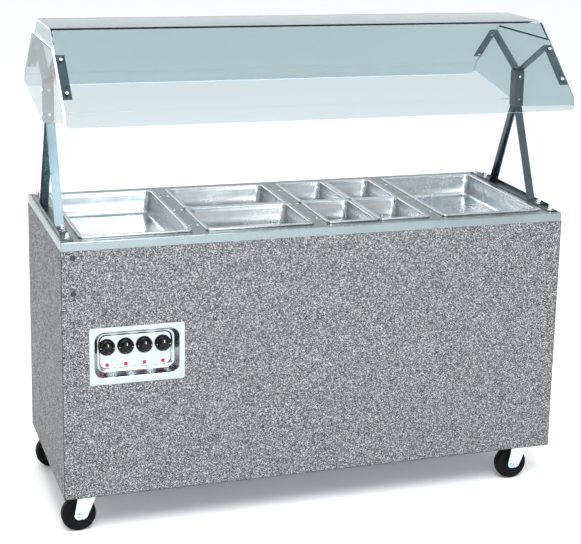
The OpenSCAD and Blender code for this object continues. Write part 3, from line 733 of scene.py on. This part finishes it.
def control_panel():
    """Stamped dish with a wide flat flange, a soft roll into the recess and a coved floor."""
    low, high = box_mm("control_recess")
    centre_x = (low.x + high.x) / 2
    centre_z = (low.z + high.z) / 2
    front, back = low.y, high.y - 1.2
    half_w, half_h = (high.x - low.x) / 2, (high.z - low.z) / 2
    roll, cove = 5.5, 8.0
    levels = [(half_w, half_h, 7, front + 1.2, 0),
              (half_w - 0.05, half_h - 0.05, 7, front + 0.7, 0),
              (half_w - 0.6, half_h - 0.6, 6.4, front + 0.1, 0),
              (half_w - 1.2, half_h - 1.2, 5.8, front, 0)]
    for j in range(7):
        a = radians(12.5 * j)
        out = roll * (1 - sin(a))
        levels.append((MOUTH[0] + out, MOUTH[1] + out, MOUTH[2] + out,
                       front + roll * (1 - cos(a)), RECESS_RISE))
    start, steps = 12, 7
    for j in range(steps + 1):
        a = radians(start + (90 - start) * j / steps)
        inset = cove * (sin(a) - sin(radians(start)))
        levels.append((RECESS_FLOOR[0] + 3 - inset * 1.4, RECESS_FLOOR[1] + 3 - inset * 1.4,
                       RECESS_FLOOR[2] + 3 - inset * 0.6, back - cove * cos(a), RECESS_RISE))
    levels[-1] = (*levels[-1][:3], back, RECESS_RISE)
    loops = [[(centre_x - x, y, centre_z + rise + z) for x, z in rounded(w, h, r, 9)]
             for w, h, r, y, rise in levels]
    piece = place("control_dish", loft(loops, False, True), "control_recess", ("control_recess",))
    thicken(piece, PRESSED_T)


def knob(k):
    """Round skirted knob with a fluted grip, a pointer rib, and pale marks on the skirt and the
    grip's top.
    """
    node = f"knob_{k}"
    low, high = box_mm(node)
    centre = Vector(((low.x + high.x) / 2, high.y, (low.z + high.z) / 2))
    radius = (high.z - low.z) / 2
    height = high.y - low.y
    skirt = [(3.2, 0.0), (radius - 1.5, 0.0), (radius, 1.0), (radius, 2.4), (radius - 1.6, 6.2),
             (radius - 2.6, 7.6), (radius - 3.8, 8.2), (17.6, 8.4)]
    grip = [(16.9, 9.2), (16.4, 11.0), (15.4, height - 4.2), (14.9, height - 2.2),
            (13.8, height - 0.8), (12.2, height - 0.1), (10.8, height), (9.6, height - 0.5),
            (8.0, height - 1.3), (4.0, height - 1.8), (0.01, height - 1.9)]

    def flutes(angle, z):
        grown = min(1.0, max(0.0, (z - 8.6) / 2.0)) * min(1.0, max(0.0, (height - 0.6 - z) / 3.0))
        return 1 - 0.035 * grown * max(0.0, cos(12 * angle)) ** 0.6

    turn = at(*centre) @ facing((0, -1, 0))
    body = moved(lathe(skirt + grip, 96, flutes), turn)
    rib = rounded(1.5, 3.6, 1.2, 4)
    pointer = loft([[(x * s, y * s + radius - 7.0, z) for x, y in rib]
                    for z, s in ((7.4, 1.0), (9.2, 1.0), (9.8, 0.7))], True, True)
    grip_line = loft([[(x * 0.5, y * 1.1 + 11.6, z) for x, y in rib]
                      for z in (height - 1.6, height)], True, True)
    place(f"knob_turning_{k}", merged([body, moved(pointer, turn)]), node, (node,))
    # Pale flat marks on the skirt at three quarter turns, and a pale line across the grip's top
    dash = loft([[(x * 0.45, y * 0.45 + radius - 5.0, z) for x, y in rib]
                 for z in (7.4, 8.45)], True, True)
    marks = [moved(dash, turn @ Matrix.Rotation(pi / 2 * quarter, 4, "Z"))
             for quarter in range(1, 4)]
    marks.append(moved(grip_line, turn))
    place(f"knob_marks_{k}", merged(marks), node, material=KNOB_PALE_MARKS)


def lenses():
    """Square lamp lenses with a bevelled face in thin bright bezels."""
    glass, bezels = [], []
    for low, high in solids_of("indicator_lenses"):
        centre = (low + high) / 2
        half = (high.x - low.x) / 2
        face = low.y
        turn = at(centre.x, 0, centre.z)
        rings = [(half - 1.2, 1.0, face + 3.0), (half - 1.2, 1.0, face + 0.9),
                 (half - 2.6, 0.6, face), (half - 3.2, 0.5, face + 0.25)]
        glass.append(moved(loft([[(-x, y, z) for x, z in rounded(h, h, r, 3)]
                                 for h, r, y in rings], True, True), turn))
        glass.append(block((centre.x - 5, face + 2.8, centre.z - 5),
                           (centre.x + 5, face + 3.6, centre.z + 5)))
        frame_rings = [(half, 1.2, face + 3.0), (half, 1.2, face + 1.6),
                       (half - 0.4, 1.0, face + 1.1), (half - 1.2, 0.9, face + 1.1),
                       (half - 1.25, 0.9, face + 3.0)]
        bezels.append(moved(loft([[(-x, y, z) for x, z in rounded(h, h, r, 3)]
                                  for h, r, y in frame_rings]), turn))
    place("lamp_lenses", merged(glass), "indicator_lenses", ("indicator_lenses",))
    place("lamp_bezels", merged(bezels), "indicator_lenses",
          material=MATERIALS["bright_fasteners"])


# ---------------------------------------------------------------- breath guard


def filleted(points, radii, steps=8):
    """Polyline with its inner corners replaced by arcs."""
    path = [points[0]]
    for before, here, after, r in zip(points, points[1:], points[2:], radii):
        a, b, c = Vector(before), Vector(here), Vector(after)
        u, v = (a - b).normalized(), (c - b).normalized()
        half = u.angle(v) / 2
        reach = r / (sin(half) / cos(half))
        centre = b + (u + v).normalized() * (r / sin(half))
        start, end = b + u * reach - centre, b + v * reach - centre
        for k in range(steps + 1):
            spoke = start.lerp(end, k / steps).normalized() * r
            path.append(tuple(centre + spoke))
    path.append(points[-1])
    return path


def shifted(path, distance):
    """Path moved sideways, to the right of its direction."""
    result = []
    for k, here in enumerate(path):
        before, after = path[max(k - 1, 0)], path[min(k + 1, len(path) - 1)]
        along = Vector((after[0] - before[0], after[1] - before[1])).normalized()
        result.append((here[0] + along.y * distance, here[1] - along.x * distance))
    return result


def shield():
    """One heat-bent clear sheet with rounded lip corners, and a flap and a panel at each end."""
    low, high = box_mm("guard_shield")
    top, half_length = high.z, high.x - GUARD_T
    half = [(GUARD_RIDGE, top), (GUARD_BEND[0], top - GUARD_BEND[1]),
            (GUARD_LIP[0], top - GUARD_LIP[1])]
    points = [(-y, z) for y, z in half[::-1]] + half
    outer = filleted(points, (11, 14, 14, 11))
    end_panels([p for p in outer if p[0] > 0], top, half_length)
    corner = 12.0
    steps = [corner * (1 - cos(radians(15 * k))) for k in range(7)]
    ends = []
    for start, then in ((outer[0], outer[1]), (outer[-1], outer[-2])):
        unit = (Vector(then) - Vector(start)).normalized()
        ends.append([tuple(Vector(start) + unit * s) for s in steps])
    outer = ends[0] + outer[1:-1] + ends[1][::-1]
    inner = shifted(outer, GUARD_T)
    reach = [half_length - corner + sqrt(max(0.0, corner ** 2 - (corner - s) ** 2))
             for s in steps]
    count = len(outer)
    half_x = reach + [half_length] * (count - 2 * len(reach)) + reach[::-1]
    columns = []
    for side in (-1, 1):
        columns.append([(side * x, y, z) for x, (y, z) in zip(half_x, outer)])
        columns.append([(side * x, y, z) for x, (y, z) in zip(half_x, inner)])
    left_out, left_in, right_out, right_in = columns
    vertices = left_out + right_out + right_in + left_in
    skins, cuts = [], []
    for k in range(count - 1):
        skins.append([k, k + 1, count + k + 1, count + k])
        skins.append([2 * count + k, 2 * count + k + 1, 3 * count + k + 1, 3 * count + k])
        cuts.append([count + k, count + k + 1, 2 * count + k + 1, 2 * count + k])
        cuts.append([3 * count + k, 3 * count + k + 1, k + 1, k])
    for k in (0, count - 1):
        cuts.append([k, count + k, 2 * count + k, 3 * count + k])
    piece = place("guard_sheet", (vertices, skins + cuts), "guard_shield", ("guard_shield",),
                  crease=25)
    low_edge = (top - GUARD_BEND[1]) * MM
    mark_cut_faces(piece, lambda f: abs(f.normal.x) > 0.5
                   or (f.normal.z < -0.9 and f.center.z < low_edge))
    slope = Vector((GUARD_BEND[0] - GUARD_RIDGE, -GUARD_BEND[1])).normalized()
    wide = GUARD_RIDGE + FLAP_H * slope.x / -slope.y - 8.5
    narrow = GUARD_RIDGE - 6
    outline = [(-narrow, top - GUARD_T - 0.1), (-wide, top - FLAP_H), (wide, top - FLAP_H),
               (narrow, top - GUARD_T - 0.1)]
    flaps = [extruded(outline, *sorted((s * half_length, s * (half_length - GUARD_T))))
             for s in (-1, 1)]
    flap = place("guard_end_flaps", merged(flaps), "guard_shield", crease=25)
    mark_cut_faces(flap, lambda f: f.normal.z < -0.9)
    soften(flap, 0.4)


def end_panels(profile, top, inner_face):
    """Clear plate outside each end of the sheet, from below its top down to the post's foot."""
    upper, lower = END_PANEL
    run = (GUARD_BEND[0] - GUARD_RIDGE) / GUARD_BEND[1]
    lean = (GUARD_LIP[0] - GUARD_BEND[0]) / (GUARD_LIP[1] - GUARD_BEND[1])
    half = [(GUARD_RIDGE + (top - upper) * run, upper)]
    half += [p for p in profile if lower < p[1] < upper]
    half += [(GUARD_BEND[0] + (top - GUARD_BEND[1] - lower) * lean, lower),
             (20, box_mm("guard_posts")[0].z)]
    outline = [(-y, z) for y, z in half[::-1]] + half
    plates = [extruded(outline, *sorted((s * inner_face, s * (inner_face + GUARD_T))))
              for s in (-1, 1)]
    plate = place("guard_end_panels", merged(plates), "guard_shield", crease=25)
    mark_cut_faces(plate, lambda f: abs(f.normal.x) < 0.5)
    soften(plate, 0.4)


def mark_cut_faces(piece, is_cut):
    """Gives the faces that is_cut picks the look of a cut edge."""
    piece.data.materials.append(EDGE)
    for face in piece.data.polygons:
        if is_cut(face):
            face.material_index = 1


def brackets():
    """The guard's supports and the pans' adapter bars, with rounded edges."""
    for node in ("guard_bases", "guard_legs", "guard_posts", "guard_arms"):
        softened(node, 0.7)
    softened("adapter_bars", 0.25)


def guard_fasteners():
    """Domed nuts on the studs above the counter, and screws in shield, end panels and posts."""
    underside = box_mm("guard_bases")[0].z
    nut_height = 17.4
    dome = [(0.01, 8.2), (5.6, 8.2), (5.5, 12.0)]
    dome += [(5.5 * cos(a), 12.0 + 5.4 * sin(a)) for a in [radians(15 * j) for j in range(1, 7)]]
    shapes = []
    for low, high in solids_of("guard_nuts"):
        if high.z < underside:
            continue
        seat = high.z - nut_height if high.z > low.z + 20 else low.z
        washer = [(0.01, 0.0), (8.0, 0.0), (8.0, 1.2), (7.7, 1.5), (0.01, 1.5)]
        stud = [(0.01, low.z - seat), (3.0, low.z - seat), (3.0, 1.0), (0.01, 1.0)]
        parts = [lathe(washer, 36), hexagon(7.0, 1.4, 9.0), lathe(dome, 36), lathe(stud, 20)]
        middle = (low + high) / 2
        shapes.append(moved(merged(parts), at(middle.x, middle.y, seat)))
    place("domed_nuts", merged(shapes), "guard_nuts", ("guard_nuts",))
    bracket_x = [(low.x + high.x) / 2 for low, high in solids_of("guard_posts")]
    low, high = box_mm("guard_shield")
    slope = Vector((0, GUARD_BEND[0] - GUARD_RIDGE, -GUARD_BEND[1])).normalized()
    shapes = []
    for x in bracket_x:
        for side in (-1, 1):
            along = Vector((0, side * slope.y, slope.z))
            out = Vector((0, -side * slope.z, slope.y))
            for down in SHIELD_SCREWS:
                spot = Vector((x, side * GUARD_RIDGE, high.z)) + along * down
                turn = Matrix.Translation(spot) @ facing(out)
                nut = moved(hexagon(5.0, 0, 4), at(0, 0, -13.2))
                shapes.append(moved(merged([button_head(5.5, 3.0, 14.0), nut]), turn))
            for z in POST_BOLTS:
                turn = at(x, side * 20, z) @ facing((0, side, 0))
                shapes.append(moved(button_head(4.5, 3.0, 18.0), turn))
        side, end = (-1, low.x) if x < 0 else (1, high.x)
        shapes += [moved(button_head(4.5, 3.0, 13.0), at(end, 0, z) @ facing((side, 0, 0)))
                   for z in POST_BOLTS]
    place("guard_screw_set", merged(shapes), "guard_screws", ("guard_screws",))


# ---------------------------------------------------------------- casters


def caster(k):
    """Fork, wheel with tyre and hub, and axle bolt with a hexagon at each end."""
    fork, wheel, axle = f"caster_fork_{k}", f"caster_wheel_{k}", f"caster_axle_{k}"
    softened(fork, 1.0, 3)
    low, high = box_mm(wheel)
    centre = (low + high) / 2
    radius, half = (high.z - low.z) / 2, (high.y - low.y) / 2
    side_y = half - 1.5
    tyre = [(radius - 15.5, side_y - 3.5), (radius - 14.5, side_y - 1.2),
            (radius - 13, side_y - 0.2),
            (radius - 9, side_y), (radius - 8.4, side_y - 0.6), (radius - 7.6, side_y - 0.6),
            (radius - 7, side_y), (radius - 4, side_y - 0.2), (radius - 1.6, side_y - 2.2),
            (radius - 0.5, side_y - 5), (radius, side_y - 9)]
    tread = tyre + [(r, -y) for r, y in tyre[::-1]]
    hub = [(5.1, half), (9.5, half), (11.5, half - 0.8), (12.5, half - 4), (14, side_y - 6.5),
           (20, side_y - 7.5), (27, side_y - 7.0), (radius - 17.5, side_y - 5),
           (radius - 15.5, side_y - 3.5)]
    core = hub + [(r, -y) for r, y in hub[::-1]]
    turn = at(*centre) @ facing((0, 1, 0))
    body = merged([lathe(tread, 72), lathe(core, 72)])
    place(f"wheel_tyre_{k}", moved(body, turn), wheel, (wheel,))
    low, high = box_mm(axle)
    centre = (low + high) / 2
    reach = (high.y - low.y) / 2
    shank = lathe([(0.01, 1 - reach), (4.9, 1 - reach), (4.9, reach - 1), (0.01, reach - 1)], 32)
    ends = [moved(hexagon(8.0, 0, 5.0), at(0, 0, reach - 5)),
            moved(hexagon(8.0, 0, 5.0), at(0, 0, 5 - reach) @ Matrix.Rotation(pi, 4, "X"))]
    turn = at(*centre) @ facing((0, 1, 0))
    place(f"axle_bolt_{k}", moved(merged([shank, *ends]), turn), axle, (axle,))


def caster_tops():
    """Mounting plates and bolts with rounded edges."""
    softened("caster_plates", 0.5)
    softened("caster_bolts", 0.4)


# ---------------------------------------------------------------- studio


def hidden_parts():
    """Inner CAD nodes keep their shape and get their finished material."""
    shafts = [f"switch_shaft_{k}" for k in range(1, 5)]
    for node in ("heating_elements", "wire_duct", "control_box", "infinite_switches",
                 "lamp_holders", *shafts):
        mesh = frame["nodes"][node].data
        mesh.materials.clear()
        mesh.materials.append(MATERIALS[SLOT_OF[node]])


def camera():
    """Standing a little to the left of the unit, looking down on it."""
    turn, down, roll = radians(CAMERA_TURN), radians(CAMERA_DOWN), radians(CAMERA_ROLL)
    ahead = Vector((sin(turn) * cos(down), cos(turn) * cos(down), -sin(down)))
    right = Vector((cos(turn), -sin(turn), 0))
    up = right.cross(ahead)
    across = right * cos(roll) + up * sin(roll)
    above = up * cos(roll) - right * sin(roll)
    data = bpy.data.cameras.new("studio_camera")
    data.sensor_width = 36
    data.lens = CAMERA_LENS
    data.shift_x, data.shift_y = CAMERA_SHIFT
    data.clip_end = 100
    eye = bpy.data.objects.new("studio_camera", data)
    pose = Matrix((across, above, -ahead)).transposed().to_4x4()
    pose.translation = Vector(CAMERA_AT)
    eye.matrix_world = pose
    SCENE.collection.objects.link(eye)
    SCENE.camera = eye


def softbox(name, place_at, target, size, power, colour=(1, 1, 1), mirrored=True):
    """Rectangular lamp. One that isn't mirrored lights surfaces but doesn't show in their gloss."""
    data = bpy.data.lights.new(name, "AREA")
    data.shape = "RECTANGLE"
    data.size, data.size_y = size
    data.energy = power
    data.color = colour
    lamp = bpy.data.objects.new(name, data)
    lamp.visible_glossy = mirrored
    lamp.location = place_at
    lamp.rotation_euler = (Vector(target) - Vector(place_at)).to_track_quat("-Z", "Y").to_euler()
    SCENE.collection.objects.link(lamp)


def studio():
    """Pale floor, bright surroundings that darken in places for the metal to reflect, and lamps."""
    SCENE.view_settings.view_transform = "Standard"
    world = bpy.data.worlds.new("studio_air")
    SCENE.world = world
    world.use_nodes = True
    nodes, links = world.node_tree.nodes, world.node_tree.links
    where = nodes.new("ShaderNodeTexCoord")
    split = nodes.new("ShaderNodeSeparateXYZ")
    links.new(where.outputs["Generated"], split.inputs[0])
    band = nodes.new("ShaderNodeValToRGB")
    links.new(split.outputs["Z"], band.inputs[0])
    greys = ((0.0, 1.0), (0.08, 0.9), (0.25, 0.6), (0.5, 0.95), (0.9, 1.6), (0.97, 0.4))
    set_stops(band.color_ramp, [(height, (grey * 0.97, grey, grey)) for height, grey in greys])
    links.new(band.outputs[0], nodes["Background"].inputs["Color"])
    nodes["Background"].inputs["Strength"].default_value = 1.0
    floor = bpy.data.meshes.new("studio_floor")
    r = FLOOR_REACH
    floor.from_pydata([(-r, -r, 0), (r, -r, 0), (r, r, 0), (-r, r, 0)], [], [[0, 1, 2, 3]])
    recipe = Recipe("floor_paper", (0.9, 0.9, 0.9), 0.9)
    recipe.relief(recipe.noise(900, 2.0), 0.02)
    floor.materials.append(recipe.material)
    ground = bpy.data.objects.new("studio_floor", floor)
    SCENE.collection.objects.link(ground)
    softbox("key_light", (-0.6, -3.6, 5.0), (-0.2, 0, 0.5), (2.4, 2.4), 270)
    softbox("leg_light", (-0.1, -4.5, 4.3), (-0.7, 0, 1.0), (1.0, 1.0), 19, (0.62, 0.86, 1.0))
    softbox("fill_light", (-0.6, -5.4, 1.8), (-0.1, -0.6, 0.0), (3.0, 1.6), 90)
    softbox("top_light", (0.2, 0.6, 4.6), (0, 0, 0.8), (4.5, 3.0), 60, mirrored=False)
    softbox("back_light", (-1.5, 4.8, 3.0), (0, 0, 0.8), (3.0, 2.0), 40)


camera()
studio()
counter_top()
pressed_marks()
cabinet()
hole_plugs()
rear_screws()
for number in range(1, 5):
    well(number)
    knob(number)
    caster(number)
for name in frame["nodes"]:
    if "pan_" in name and SLOT_OF[name] == "pan_steel":
        pan(name)
control_panel()
lenses()
shield()
brackets()
guard_fasteners()
caster_tops()
hidden_parts()
